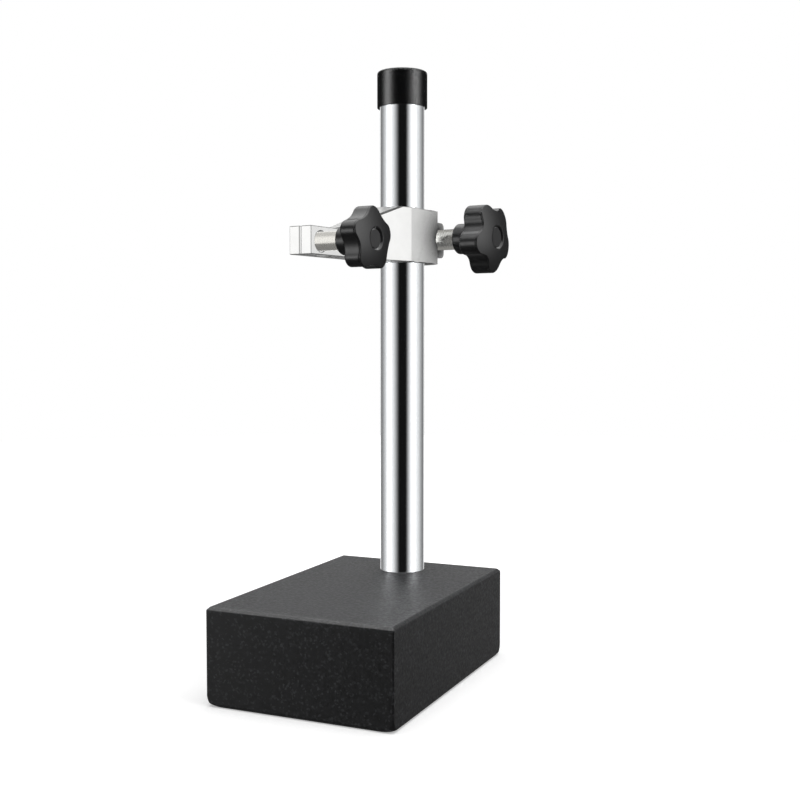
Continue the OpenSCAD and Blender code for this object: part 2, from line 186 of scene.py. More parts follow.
def wrapped_faces(rows, columns, looped):
    """Faces of a grid that closes round its columns.

    Between rows i and i + 1 the face at column j is (i, j), (i, j + 1), (i + 1, j + 1), (i + 1, j).
    A looped grid also joins its last row to its first. Otherwise the first and last point of the
    list are poles, each joined to the nearest row by triangles.
    """
    j = np.arange(columns)
    k = (j + 1) % columns
    i = np.arange(rows if looped else rows - 1)[:, None]
    low = i * columns
    high = ((i + 1) % rows) * columns
    quads = np.stack([low + j, low + k, high + k, high + j], axis=-1).reshape(-1, 4)
    if looped:
        return quads.tolist()
    quads += 1
    end = rows * columns + 1
    bottom = np.stack([np.zeros_like(j), k + 1, j + 1], axis=-1)
    top = np.stack([np.full_like(j, end), end - columns + j, end - columns + k], axis=-1)
    return quads.tolist() + bottom.tolist() + top.tolist()


def new_mesh(name, points, faces):
    """A mesh of the points and faces, shaded smooth."""
    mesh = bpy.data.meshes.new(name)
    mesh.from_pydata(np.asarray(points).tolist(), [], faces)
    mesh.shade_smooth()
    mesh.validate()
    return mesh


def new_piece(part, points, faces):
    """Makes a part's object of the points and faces."""
    return dress(bpy.data.objects.new(part.name, new_mesh(part.name, points, faces)), part)


def dress(piece, part):
    """Links a part's new object, gives it its material, and puts it on its body."""
    body, replaced, slot = frame["nodes"][part.node]["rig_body"], (part.node,), part.slot
    bpy.context.scene.collection.objects.link(piece)
    piece.data.materials.clear()
    piece.data.materials.append(part.material)
    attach(piece, body)
    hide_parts(*replaced)
    return piece


def angles_round(columns):
    """Angles of a grid's columns, evenly spread round an axis."""
    return np.linspace(0, TURN, columns, endpoint=False)[None, :]


def between_poles(axis, start, rings, end):
    """The points of rings round an axis, after a pole at the start and before one at the end."""
    poles = axis.place(np.array([start, end]), 0.0, 0.0)
    return np.concatenate([poles[:1], rings.reshape(-1, 3), poles[1:]])


def closed_piece(part, axis, start, rings, end):
    """A piece of rings round an axis that closes in a pole at each end."""
    points = between_poles(axis, start, rings, end)
    return new_piece(part, points, wrapped_faces(*rings.shape[:2], False))


def looped_piece(part, rings):
    """A piece of rings of which the last one is joined to the first."""
    return new_piece(part, rings.reshape(-1, 3), wrapped_faces(*rings.shape[:2], True))


def turned_solid(part, axis, corners, rounds, columns=96):
    """A turned piece whose profile starts and ends on the axis, which gives it two poles.

    Point (i, j) is point i of the profile at angle 2 pi j / columns.
    """
    profile = rounded_profile(corners, rounds)
    rings = axis.place(profile[1:-1, :1], profile[1:-1, 1:], angles_round(columns))
    return closed_piece(part, axis, profile[0, 0], rings, profile[-1, 0])


def turned_tube(part, axis, corners, rounds, columns=96):
    """A turned piece whose profile is a closed loop round the wall of a tube.

    Point (i, j) is point i of the profile at angle 2 pi j / columns.
    """
    profile = rounded_profile([corners[-1], *corners, corners[0]], rounds)[1:-1]
    return looped_piece(part, axis.place(profile[:, :1], profile[:, 1:], angles_round(columns)))


def threaded_rod(part, axis, start, end, radius, pitch):
    """A screw with a thread along its whole length.

    The distance out at height h and angle a is radius - depth * trapezium(h / pitch - a / 2 pi),
    where the trapezium is 0 on the crest, 1 in the root and straight between them. Near an end it
    is also at most radius - depth + the height left to the end, which gives a 45 degree bevel.
    """
    columns = 48
    rows_per_turn = 10
    depth = 0.61 * pitch
    crest_share = 0.15
    flank_share = 0.65
    rows = int((end - start) / pitch * rows_per_turn)
    height = np.linspace(start, end, rows)[:, None]
    angle = angles_round(columns)
    phase = (height / pitch - angle / TURN) % 1.0
    from_crest = np.abs(phase - 0.5) * 2
    out = radius - depth * np.clip((from_crest - crest_share) / flank_share, 0, 1)
    left = np.minimum(height - start, end - height)
    rings = axis.place(height, np.minimum(out, radius - depth + left), angle)
    return closed_piece(part, axis, start, rings, end)


def star_outline(angle, lobes, outer, root, lobe):
    """Distance out of a knob's outline at an angle from the middle of a lobe.

    A lobe is an arc of radius `lobe` whose centre lies at outer - lobe. Between two lobes an arc
    from outside touches both, and comes as near as `root` to the axis.
    """
    half = math.pi / lobes
    turned = np.abs((angle + half) % (2 * half) - half)
    centre = outer - lobe
    fall = math.cos(half)
    hollow = centre**2 + root**2 - 2 * centre * root * fall - lobe**2
    hollow /= 2 * (lobe + centre * fall - root)
    reach = root + hollow
    share = lobe / (lobe + hollow)
    meet = math.atan2(reach * math.sin(half) * share, centre + (reach * fall - centre) * share)
    away = half - turned
    lobe_chord = np.sqrt(np.maximum(lobe**2 - (centre * np.sin(turned)) ** 2, 0))
    hollow_chord = np.sqrt(np.maximum(hollow**2 - (reach * np.sin(away)) ** 2, 0))
    on_lobe = centre * np.cos(turned) + lobe_chord
    in_hollow = reach * np.cos(away) - hollow_chord
    return np.where(turned < meet, on_lobe, in_hollow)


def star_knob(part, axis, sizes, sits):
    """A star knob as one closed surface.

    Every ring has one distance out and one height for each angle a. The back and the sides follow
    outline(a) - inset. The face is a dome of radius F, so a point at distance r has the height
    top - F + sqrt(F * F - r * r), and its rings run from the rim to the edge of the disc's recess
    at r = (1 - t) * (outline(a) - front round) + t * edge. The rings start at the bottom of the
    bush's hole and run out over the hub, round the head, over the dome and into the recess.
    """
    angle = angles_round(sizes.columns)
    outline = star_outline(angle, sizes.lobes, sits["outer"], sits["root"], sizes.lobe_radius)
    start, back, hub, bush, disc = (sits[key] for key in ("start", "back", "hub", "bush", "disc"))
    rear = sizes.back_round
    front = sizes.front_round
    quarter = np.linspace(0, math.pi / 2, 9)[:, None]
    fine = np.linspace(0, math.pi / 2, 6)[:, None]

    def dome(out):
        return sits["top"] - sizes.face_radius + np.sqrt(sizes.face_radius**2 - out**2)

    def column(*values):
        return np.array(values)[:, None]

    rim = dome(outline - front)
    hub_round = 0.9 * MM
    root_round = 1.0 * MM
    # The line behind the rim has one flat row before it and two rows at its depth
    groove_behind = column(3.3, 3.0, 2.0, 1.0) * sizes.rim_groove
    groove_depth = column(0.0, 0.0, 1.0, 1.0) * sizes.rim_groove
    seat = disc + SUPPORT
    edge = seat + sizes.disc_slope
    inward = column(0.015, 0.05, 0.12, 0.22, 0.35, 0.5, 0.65, 0.8, 0.92, 1.0)
    face = (outline - front) * (1 - inward) + edge * inward
    lip_drop = column(0.04, 0.12) * MM
    lip_inset = column(0.02, 0.12) * MM
    foot_rise = column(0.1, 0.0) * MM
    foot_reach = column(0.12, 0.0) * MM
    floor = sits["disc_bottom"]
    parts = [
        (sits["bush_end"], bush * column(0.5, 1.0)),
        (column(start + SUPPORT, start), bush),
        (start, column(bush + SUPPORT, hub - hub_round - SUPPORT)),
        (start + hub_round * (1 - np.cos(fine)), hub - hub_round * (1 - np.sin(fine))),
        (column(start + hub_round + SUPPORT, back - root_round - SUPPORT), hub),
        (back - root_round * (1 - np.sin(fine)), hub + root_round * (1 - np.cos(fine))),
        (back, outline - rear - SUPPORT),
        (back + rear * (1 - np.cos(quarter)), outline - rear * (1 - np.sin(quarter))),
        (back + rear + SUPPORT, outline),
        (rim - front - groove_behind, outline - groove_depth),
        (rim - front * (1 - np.sin(fine)), outline - front * (1 - np.cos(fine))),
        (dome(face), face),
        (dome(edge) - lip_drop, edge - lip_inset),
        (sits["disc_top"] + foot_rise, seat + foot_reach),
        (column(floor + SUPPORT, floor), column(seat, seat - SUPPORT)),
        (floor, column(seat * 0.5)),
    ]
    rings = []
    for height, out in parts:
        height, out, turn = np.broadcast_arrays(height, out, angle)
        rings.append(axis.place(height, out, turn + sits["lobe_angle"]))
    return closed_piece(part, axis, sits["bush_end"], np.concatenate(rings), floor)


def knob_places(axis, prefix, sizes):
    """Where one knob's pieces start and end along their screw, measured on the CAD nodes."""
    along, out, angle = axis.measure(prefix + "_knob")
    start = along.min()
    tips = out > out.max() - SLACK
    widest = out[tips].mean()
    bush_start, bush_end, bush = axis.span(prefix + "_knob_bush")
    disc_start, disc_end, disc = axis.span(prefix + "_knob_disc")
    hub_depth = 2 * MM
    hub = out[along < start + hub_depth].max()
    head_margin = 1.5 * MM
    inner = widest - sizes.front_round
    face_drop = sizes.face_radius - math.sqrt(sizes.face_radius**2 - inner**2)
    return {
        "start": start,
        "back": along[out > hub + head_margin].min(),
        "top": along[tips].max() + sizes.front_round + face_drop,
        "outer": widest,
        "root": out[np.abs(along - along[tips].min()) < SLACK].min(),
        "hub": hub,
        "lobe_angle": np.angle(np.exp(1j * sizes.lobes * angle[tips]).mean()) / sizes.lobes,
        "bush": bush,
        "bush_start": bush_start,
        "bush_end": bush_end,
        "disc": disc,
        "disc_bottom": disc_start,
        "disc_top": disc_end,
    }


def rounded_rectangle(half_x, half_y, radius):
    """Points round a rectangle whose four corners are arcs, from the +X +Y corner onwards.

    Corner k is an arc of a quarter turn from angle k pi / 2 about (half - radius) to both sides.
    One more point on each side of an arc keeps the flat beside it flat.
    """
    quarter = np.linspace(0, math.pi / 2, 9)
    arc = np.stack([np.cos(quarter), np.sin(quarter)], axis=-1) * radius
    first = arc[:1] - [[0.0, STONE_SUPPORT]]
    last = arc[-1:] - [[STONE_SUPPORT, 0.0]]
    corner = np.concatenate([first, arc, last]) + [half_x - radius, half_y - radius]
    turned = [corner, corner[::-1] * [-1, 1], -corner, corner[::-1] * [1, -1]]
    return np.concatenate(turned)


def granite_block(part, edges):
    """The block as rings of points that run round it and through its bolt hole.

    Each outer ring is a rounded rectangle with its own height, inset and corner radius: the inset
    is the bevel at the top and at the bottom, and the corner radius grows near the underside as
    small + (large - small) * (1 - height / large) ** 2. The inner rings are circles round the
    column's axis that lie at the same directions as the corners of the outer ring.
    """
    low, high = (np.array(corner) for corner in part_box("granite_base"))
    bottom, top = low[2], high[2]
    middle = (low + high) / 2
    half = (high - low) / 2
    bevel = edges.granite_bevel
    small = edges.granite_side_round
    large = edges.granite_foot_round
    along, out, _ = COLUMN_AXIS.measure("granite_base")
    inside = out < half[0] / 2
    hole = out[inside].min()
    pocket = out[inside & (along < bevel)].max()
    pocket_top = along[inside & (out > pocket - 0.5 * MM)].max()
    flat_start = bevel + 6 * MM
    rounds = [0.4 * MM] * 2
    lower = rounded_profile(
        [(0, flat_start), (0, bevel), (bevel, 0), (large / 2, 0)], rounds, support=STONE_SUPPORT
    )
    side = [(large * share, 0) for share in (0.6, 0.7, 0.8, 0.9, 1.0)]
    upper = rounded_profile(
        [(top - large, 0), (top - bevel, 0), (top, bevel), (top, flat_start)], rounds,
        support=STONE_SUPPORT,
    )
    heights, insets = np.concatenate([lower, side, upper]).T
    radii = small + (large - small) * np.clip(1 - heights / large, 0, 1) ** 2
    outer = []
    for height, inset, radius in zip(heights, insets, radii):
        flat = rounded_rectangle(half[0] - inset, half[1] - inset, radius) + middle[:2]
        outer.append(np.column_stack([flat, np.full(len(flat), height)]))
    offset = outer[-1][:, :2] - COLUMN_AXIS.origin[:2]
    direction = offset / np.linalg.norm(offset, axis=1)[:, None]
    margin = 1 * MM
    turned = [
        (top, hole + margin), (top, hole + SUPPORT), (top - SUPPORT, hole),
        (pocket_top + SUPPORT, hole), (pocket_top, hole + SUPPORT),
        (pocket_top, pocket - SUPPORT), (pocket_top - SUPPORT, pocket),
        (bottom + SUPPORT, pocket), (bottom, pocket + SUPPORT), (bottom, pocket + margin),
    ]
    inner = [
        np.column_stack([
            COLUMN_AXIS.origin[:2] + direction * radius, np.full(len(direction), height)
        ])
        for height, radius in turned
    ]
    return looped_piece(part, np.stack([*outer, *inner]))


# ---- copies of CAD pieces

def flatten_sides(shape, axis, half_width):
    """Presses a shape flat at two planes square to an axis, as far apart as twice the half width.

    The shape is first cut along both planes. Each corner then moves along the axis to
    clip(distance along, -half width, half width), and corners that come to lie together merge.
    """
    for end in (-half_width, half_width):
        bmesh.ops.bisect_plane(
            shape,
            geom=[*shape.verts, *shape.edges, *shape.faces],
            dist=0.001 * MM,
            plane_co=(axis.origin + axis.along * end).tolist(),
            plane_no=axis.along.tolist(),
        )
    points = np.array([corner.co for corner in shape.verts])
    along = (points - axis.origin) @ axis.along
    points += (np.clip(along, -half_width, half_width) - along)[:, None] * axis.along
    for corner, point in zip(shape.verts, points.tolist()):
        corner.co = point
    bmesh.ops.remove_doubles(shape, verts=shape.verts, dist=0.1 * MM)


def weigh_edges(mesh, angles, axis):
    """Gives a bevel weight of 1 to each edge sharper than 44 degrees.

    A pressed piece keeps its sharp edges where both ends lie behind the screw's near side, since
    the bore runs out through the side of the boss there in slivers too narrow for a bevel.
    """
    weights = np.degrees(angles) > 44
    if axis:
        slivers_start = 11.5 * MM
        points = read_rows(mesh.vertices, "co", 3)
        ends = read_rows(mesh.edges, "vertices", 2, np.int32)
        behind = (points - axis.origin) @ axis.start > slivers_start
        weights &= ~behind[ends].all(axis=1)
    layer = mesh.attributes.new("bevel_weight_edge", "FLOAT", "EDGE")
    layer.data.foreach_set("value", weights.astype(np.float32))


def paint_top_bevels(mesh):
    """Gives the second material, a darker grey of painted shade, to faces that slant both up and
    aside: the bevels of the ramp.
    """
    normals = read_rows(mesh.polygons, "normal", 3)
    slant = 0.4
    bevels = (np.abs(normals @ COLUMN_SCREW_AXIS.along) > slant) & (normals[:, 2] > slant)
    mesh.polygons.foreach_set("material_index", bevels.astype(np.int32))


def rounded_copy(part, width, pressed=None, painted_shade_material=None):
    """A copy of a part's solid with its flats joined into whole faces and each sharp edge rounded.

    Pressed holds the axis and the half width of a piece whose sides are pressed flat first. The
    rounded edges and the bevels along the top can have a material of their own, which paints a
    darker shade on them.
    """
    mesh = frame["nodes"][part.node].data.copy()
    shape = bmesh.new()
    shape.from_mesh(mesh)
    bmesh.ops.remove_doubles(shape, verts=shape.verts, dist=0.002 * MM)
    if pressed:
        flatten_sides(shape, *pressed)
    bmesh.ops.dissolve_limit(
        shape, angle_limit=math.radians(1.0), verts=shape.verts, edges=shape.edges
    )
    angles = [edge.calc_face_angle(0.0) for edge in shape.edges]
    shape.to_mesh(mesh)
    shape.free()
    mesh.shade_smooth()
    weigh_edges(mesh, angles, pressed and pressed[0])
    mesh.set_sharp_from_angle(angle=math.radians(10))
    piece = dress(bpy.data.objects.new(part.name, mesh), part)
    bevel = piece.modifiers.new("Edge round", "BEVEL")
    bevel.width = width
    bevel.segments = 2
    bevel.limit_method = "WEIGHT"
    bevel.harden_normals = True
    bevel.use_clamp_overlap = not pressed
    # The second material paints a darker shade on the rounded edges and the bevels along the top
    if painted_shade_material:
        mesh.materials.append(painted_shade_material)
        bevel.material = 1
        paint_top_bevels(mesh)
    return piece


# ---- nodes

def linear(code):
    """Linear colour with alpha 1 of an sRGB hex code such as #c6c8cc."""
    levels = np.array([int(code[i : i + 2], 16) for i in (1, 3, 5)]) / 255
    values = np.where(levels <= 0.04045, levels / 12.92, ((levels + 0.055) / 1.055) ** 2.4)
    return (*values.tolist(), 1.0)


WHITE = linear("#ffffff")


def add(tree, kind, inputs=None, **settings):
    """Adds one node. Inputs hold numbers, colours or other nodes' outputs by socket name."""
    node = tree.nodes.new(kind)
    for key, value in settings.items():
        setattr(node, key, value)
    for key, value in (inputs or {}).items():
        socket = node.inputs[key]
        if isinstance(value, bpy.types.NodeSocket):
            tree.links.new(value, socket)
        else:
            socket.default_value = value
    return node


def remap(tree, value, low, high, start, end, **settings):
    """A value that goes from start to end while its source goes from low to high."""
    inputs = {"Value": value, "From Min": low, "From Max": high, "To Min": start, "To Max": end}
    return add(tree, "ShaderNodeMapRange", inputs, **settings).outputs["Result"]


def noise(tree, place, size, detail, roughness=0.5, socket="Vector", **settings):
    """Noise whose features are `size` metres across, mostly between the values of NOISE_SPAN."""
    inputs = {socket: place, "Scale": 1 / size, "Detail": detail, "Roughness": roughness}
    return add(tree, "ShaderNodeTexNoise", inputs, **settings).outputs["Fac"]


NOISE_SPAN = (0.3, 0.7)


def distance_along(tree, place, direction):
    """Distance of a place from the origin along a direction."""
    inputs = {0: place, 1: tuple(direction)}
    return add(tree, "ShaderNodeVectorMath", inputs, operation="DOT_PRODUCT").outputs["Value"]


def two_tones(tree, value, low, high, dark, light):
    """A colour that goes from dark to light while the value goes from low to high."""
    ramp = add(tree, "ShaderNodeValToRGB", {"Fac": value})
    for element, position, code in zip(ramp.color_ramp.elements, (low, high), (dark, light)):
        element.position = position
        element.color = linear(code)
    return ramp.outputs["Color"]


def mixed(tree, first, second, share=1.0, blend="MIX"):
    """Two colours mixed or, with another blend, put on each other."""
    inputs = {"Factor": share, "A": first, "B": second}
    mix = add(tree, "ShaderNodeMix", inputs, data_type="RGBA", blend_type=blend)
    return mix.outputs["Result"]


def empty_material(name):
    """A material without nodes, and its node tree."""
    material = bpy.data.materials.new(name)
    material.use_nodes = True
    material.node_tree.nodes.clear()
    return material, material.node_tree


def show(tree, surface, kind="ShaderNodeOutputMaterial"):
    """Links a shader to a new output node."""
    tree.links.new(surface, add(tree, kind).inputs["Surface"])


# ---- materials

def new_material(name, **shader):
    """A material with its shader node; the keywords set sockets that are the same all over."""
    material, tree = empty_material(name)
    sockets = {key.replace("_", " "): value for key, value in shader.items()}
    bsdf = add(tree, "ShaderNodeBsdfPrincipled", sockets)
    show(tree, bsdf.outputs["BSDF"])
    place = add(tree, "ShaderNodeTexCoord").outputs["Object"]
    return material, tree, bsdf, place


def finish(tree, bsdf, gloss, height, strength, depth, colour=None):
    """Links the roughness, a relief of the given height and depth, and perhaps a colour."""
    inputs = {"Height": height, "Strength": strength, "Distance": depth}
    relief = add(tree, "ShaderNodeBump", inputs).outputs["Normal"]
    tree.links.new(gloss, bsdf.inputs["Roughness"])
    tree.links.new(relief, bsdf.inputs["Normal"])
    if colour:
        tree.links.new(colour, bsdf.inputs["Base Color"])


def honed_granite():
    """Honed black granite: a dark, fine crystal mix with pale feldspar specks and a soft gloss."""
    look = bpy.context.scene.stand_looks
    material, tree, bsdf, place = new_material("Honed black granite", Specular_IOR_Level=0.5)
    crystals = {"Vector": place, "Scale": 1 / (1.0 * MM), "Randomness": 1.0}
    cells = add(tree, "ShaderNodeTexVoronoi", crystals).outputs["Color"]
    chance = add(tree, "ShaderNodeSeparateColor", {"Color": cells}).outputs["Red"]
    # One crystal in four is paler than the mix, and the palest are feldspar
    specks = remap(tree, chance, 0.76, 1.0, 0.0, 1.0)
    grains = noise(tree, place, 1.6 * MM, 5.0, 0.7)
    body = two_tones(tree, grains, 0.36, 0.66, look.granite_dark, look.granite)
    speckled = mixed(tree, body, linear(look.granite_speck), specks)
    clouds = remap(tree, noise(tree, place, 24 * MM, 3.0), *NOISE_SPAN, 0.9, 1.1)
    colour = mixed(tree, speckled, clouds, blend="MULTIPLY")
    gloss = remap(tree, grains, 0.35, 0.65, 0.34, 0.6)
    finish(tree, bsdf, gloss, grains, 0.6, 0.05 * MM, colour)
    return material


def ground_chrome():
    """Hard-chromed steel, centreless ground: a cold mirror with faint grinding rings round it."""
    look = bpy.context.scene.stand_looks
    material, tree, bsdf, place = new_material(
        "Hard chromed ground steel", Metallic=1.0, Base_Color=linear(look.chrome)
    )
    stretch = add(tree, "ShaderNodeMapping", {"Vector": place, "Scale": (0.02, 0.02, 1.0)})
    rings = noise(tree, stretch.outputs["Vector"], 0.6 * MM, 3.0, 0.6)
    gloss = remap(tree, rings, *NOISE_SPAN, 0.05, 0.09)
    finish(tree, bsdf, gloss, rings, 0.02, 0.01 * MM)
    return material


def blasted_aluminium(name, light, dark):
    """Bead-blasted aluminium: an even silky grey of tiny dimples that spreads each highlight, with
    a painted shadow darkening its colour near the knob.
    """
    material, tree, bsdf, place = new_material(name, Metallic=1.0)
    patches = noise(tree, place, 9 * MM, 3.0)
    tone = two_tones(tree, patches, *NOISE_SPAN, dark, light)
    # Painted shadow: ambient occlusion darkens the base colour into a soft shadow on the boss,
    # where the knob stands close to the satin metal. It is deepest at the ears and fades out at the
    # column's axis
    occlusion = {"Distance": 45 * MM}
    openness = add(tree, "ShaderNodeAmbientOcclusion", occlusion, samples=12).outputs["AO"]
    deepest = remap(tree, distance_along(tree, place, BACKWARDS), 0.0, 30 * MM, 1.0, 0.03)
    shadow = remap(tree, openness, 0.53, 0.91, deepest, 1.0)
    colour = mixed(tree, tone, shadow, blend="MULTIPLY")
    # Real dimples are about 0.1 mm; they are drawn at 0.35 mm so that they show at all
    dimples = noise(tree, place, 0.35 * MM, 2.0)
    gloss = remap(tree, patches, *NOISE_SPAN, 0.42, 0.48)
    finish(tree, bsdf, gloss, dimples, 0.15, 0.02 * MM, colour)
    return material


def turned_metal(name, code, gloss_low, gloss_high, axis, ring_width):
    """Turned metal: fine tool rings that lie square to the axis of the piece."""
    material, tree, bsdf, place = new_material(name, Metallic=1.0, Base_Color=linear(code))
    along = distance_along(tree, place, axis.along.tolist())
    rings = noise(tree, along, ring_width, 3.0, 0.6, "W", noise_dimensions="1D")
    gloss = remap(tree, rings, *NOISE_SPAN, gloss_low, gloss_high)
    finish(tree, bsdf, gloss, rings, 0.1, 0.02 * MM)
    return material


def moulded_plastic(name, code, gloss_low, gloss_high, grain, relief_strength):
    """Injection-moulded plastic: even colour with a fine mould texture in its gloss and relief."""
    material, tree, bsdf, place = new_material(name, IOR=1.5, Base_Color=linear(code))
    texture = noise(tree, place, grain, 3.0, 0.6)
    gloss = remap(tree, texture, *NOISE_SPAN, gloss_low, gloss_high)
    finish(tree, bsdf, gloss, texture, relief_strength, 0.03 * MM)
    return material


# ---- sizes and colours

def length_mm(label, text, value, low, high):
    """A length with the panel's units, given here in millimetres."""
    return FloatProperty(
        name=label, description=text, default=value * MM, min=low * MM, max=high * MM,
        unit="LENGTH", precision=5,
    )


def count(label, text, value, low, high):
    """A whole number."""
    return IntProperty(name=label, description=text, default=value, min=low, max=high)


def level(label, text, value, high):
    """A brightness from 0 up."""
    return FloatProperty(name=label, description=text, default=value, min=0, max=high)


def lamp_power(label, text, value):
    """The power of a lamp in watts."""
    return FloatProperty(name=label, description=text, default=value, min=0, subtype="POWER")


def colour_code(label, text, value):
    """An sRGB hex colour."""
    return StringProperty(name=label, description=text, default=value, maxlen=7)


class StandLooks(bpy.types.PropertyGroup):
    """Colours of the finishes."""

    granite: colour_code("Granite", "Lighter grey of the granite's mix", "#131416")
    granite_dark: colour_code("Granite, dark", "Darker grey of the granite's mix", "#070708")
    granite_speck: colour_code("Granite, specks", "Pale specks in the granite", "#2f3032")
    chrome: colour_code("Chrome", "Hard chrome on the column", "#d2d4d6")
    aluminium: colour_code("Aluminium", "Blasted aluminium of the arm", "#cccccb")
    aluminium_dark: colour_code("Aluminium, dark", "Slightly darker patches", "#c4c4c3")
    # Painted shade: the darker grey that the arm's rounded edges and top bevels are given
    aluminium_edge_shade: colour_code("Aluminium, edge", "Darker grey painted on the arm's edges as shade", "#858584")
    plated_steel: colour_code("Plated steel", "Sleeves and screws", "#dad8d2")
    zinc: colour_code("Zinc", "Bolt and washers", "#bfc2c4")
    brass: colour_code("Brass", "Bushes in the knobs", "#c9a765")
    cap: colour_code("Cap", "Glossy cap on the column", "#070708")
    knob: colour_code("Knob", "Plastic of the star knobs", "#0d0d0e")
    disc: colour_code("Disc", "Disc in the face of a knob", "#1c1c1d")


class EdgeSizes(bpy.types.PropertyGroup):
    """Rounds, the arm's flat sides and threads, which the solids leave out."""

    granite_bevel: length_mm("Granite bevel", "Bevel round the top and the foot", 1.5, 0.5, 4)
    granite_side_round: length_mm("Granite side edge", "Round of the upright edges", 0.8, 0.3, 4)
    granite_foot_round: length_mm("Granite foot corner", "Round of the lower corners", 6, 2, 12)
    arm_round: length_mm("Arm edge", "Round along the arm's edges", 0.4, 0.05, 0.8)
    boss_half_width: length_mm("Boss half width", "Column's axis to a flat side", 14.9, 13, 20)
    bolt_round: length_mm("Bolt edge", "Round along the bolt's edges", 0.15, 0.02, 0.3)
    column_pitch: length_mm("Column screw pitch", "Thread pitch", 1.25, 0.5, 2)
    stem_pitch: length_mm("Stem screw pitch", "Thread pitch", 1, 0.5, 2)


class KnobSizes:
    """Shape of a knob where its solid does not give it."""

    lobes: count("Lobes", "Number of lobes", 5, 3, 8)
    columns: count("Points round", "Grid points round the knob", 240, 60, 480)
    face_radius: length_mm("Face radius", "Radius of the domed face", 58, 30, 90)
    disc_slope: length_mm("Disc slope", "Width of the slope round the disc", 0.35, 0.2, 3)
    disc_gap: length_mm("Disc gap", "Gap between the disc and its seat", 0.3, 0.05, 0.6)
    back_round: length_mm("Back round", "Radius round the back rim", 1.3, 0.5, 5)
    front_round: length_mm("Front round", "Radius round the front rim", 0.5, 0.2, 3)
    rim_groove: length_mm("Rim groove", "Depth of the line behind the rim", 0.28, 0, 0.4)


class ColumnKnobSizes(KnobSizes, bpy.types.PropertyGroup):
    """Shape of the larger knob."""

    lobe_radius: length_mm("Lobe radius", "Radius at the end of a lobe", 6.5, 3, 10)


class StemKnobSizes(KnobSizes, bpy.types.PropertyGroup):
    """Shape of the smaller knob."""

    lobe_radius: length_mm("Lobe radius", "Radius at the end of a lobe", 5, 3, 10)


class StudioSizes(bpy.types.PropertyGroup):
    """Camera, lamps and reflecting walls."""

    camera_place: FloatVectorProperty(
        name="Camera", description="Place of the camera", subtype="TRANSLATION",
        default=(0.267509, -0.555345, 0.184841),
    )
    camera_turn: FloatVectorProperty(
        name="Camera turn", description="Turn of the camera", subtype="EULER",
        default=(math.pi / 2 - 0.057, 0.0, 0.418),
    )
    lens: FloatProperty(
        name="Lens", description="Focal length in millimetres", default=52.38, min=10, max=200
    )
    shell_radius: length_mm("Shell radius", "Distance of the reflecting shell", 2500, 800, 5000)
    world_level: level("Sky level", "Brightness of the even light", 0.35, 2)
    top_power: lamp_power("Top lamp", "Power of the soft lamp overhead", 20)
    side_power: lamp_power("Side lamp", "Power of the lamp at the right", 6)


# ---- the pieces

class StandOperator:
    """What the operators share."""

    bl_options = {"REGISTER", "UNDO"}


class STAND_OT_granite(StandOperator, bpy.types.Operator):
    """Builds the granite block from its solid, with softened bevels."""

    bl_idname = "stand.granite"
    bl_label = "Granite block"

    def execute(self, context):
        part = Part("granite_block", "granite_base", honed_granite(), "granite")
        granite_block(part, context.scene.stand_edges)
        return {"FINISHED"}


class STAND_OT_bolt(StandOperator, bpy.types.Operator):
    """Builds the bolt and its washers under the column."""

    bl_idname = "stand.bolt"
    bl_label = "Bolt and washers"

    def execute(self, context):
        look = context.scene.stand_looks
        width = context.scene.stand_edges.bolt_round
        zinc = turned_metal("Zinc plated steel", look.zinc, 0.28, 0.38, COLUMN_AXIS, 0.5 * MM)
        for node in ("column_bolt", "bolt_washer", "bolt_lock_washer"):
            rounded_copy(Part(node + "_finished", node, zinc, "zinc_plated_steel"), width)
        return {"FINISHED"}


class STAND_OT_column(StandOperator, bpy.types.Operator):
    """Builds the ground column with its bevelled ends and the blind hole for the bolt."""

    bl_idname = "stand.column"
    bl_label = "Column"

    def execute(self, context):
        start, end, radius = COLUMN_AXIS.span("column")
        along, out, _ = COLUMN_AXIS.measure("column")
        margin = 1 * MM
        hole = out[along < start + margin].min()
        hole_end = along[(out < radius - margin) & (along < (start + end) / 2)].max()
        bevel = 0.8 * MM
        foot = 0.3 * MM
        corners = [
            (hole_end, 0), (hole_end, hole), (start, hole), (start, radius - foot),
            (start + foot, radius), (end - bevel, radius), (end, radius - bevel), (end, 0),
        ]
        rounds = [0.3 * MM, 0.2 * MM, 0.05 * MM, 0.05 * MM, 0.2 * MM, 0.2 * MM]
        part = Part("column_finished", "column", ground_chrome(), "chromed_steel")
        turned_solid(part, COLUMN_AXIS, corners, rounds, 256)
        return {"FINISHED"}


class STAND_OT_cap(StandOperator, bpy.types.Operator):
    """Builds the moulded cap on the column."""

    bl_idname = "stand.cap"
    bl_label = "Column cap"

    def execute(self, context):
        look = context.scene.stand_looks
        start, end, radius = COLUMN_AXIS.span("column_cap")
        _, column_end, column_radius = COLUMN_AXIS.span("column")
        bore = column_radius + 0.02 * MM
        corners = [
            (column_end, 0), (column_end, bore), (start, bore), (start, radius), (end, radius),
            (end, 0),
        ]
        rounds = [0.5 * MM, 0.3 * MM, 0.35 * MM, 1.6 * MM]
        plastic = moulded_plastic("Glossy black vinyl", look.cap, 0.12, 0.2, 1.2 * MM, 0.03)
        part = Part("cap_finished", "column_cap", plastic, "cap_plastic")
        turned_solid(part, COLUMN_AXIS, corners, rounds, 192)
        return {"FINISHED"}


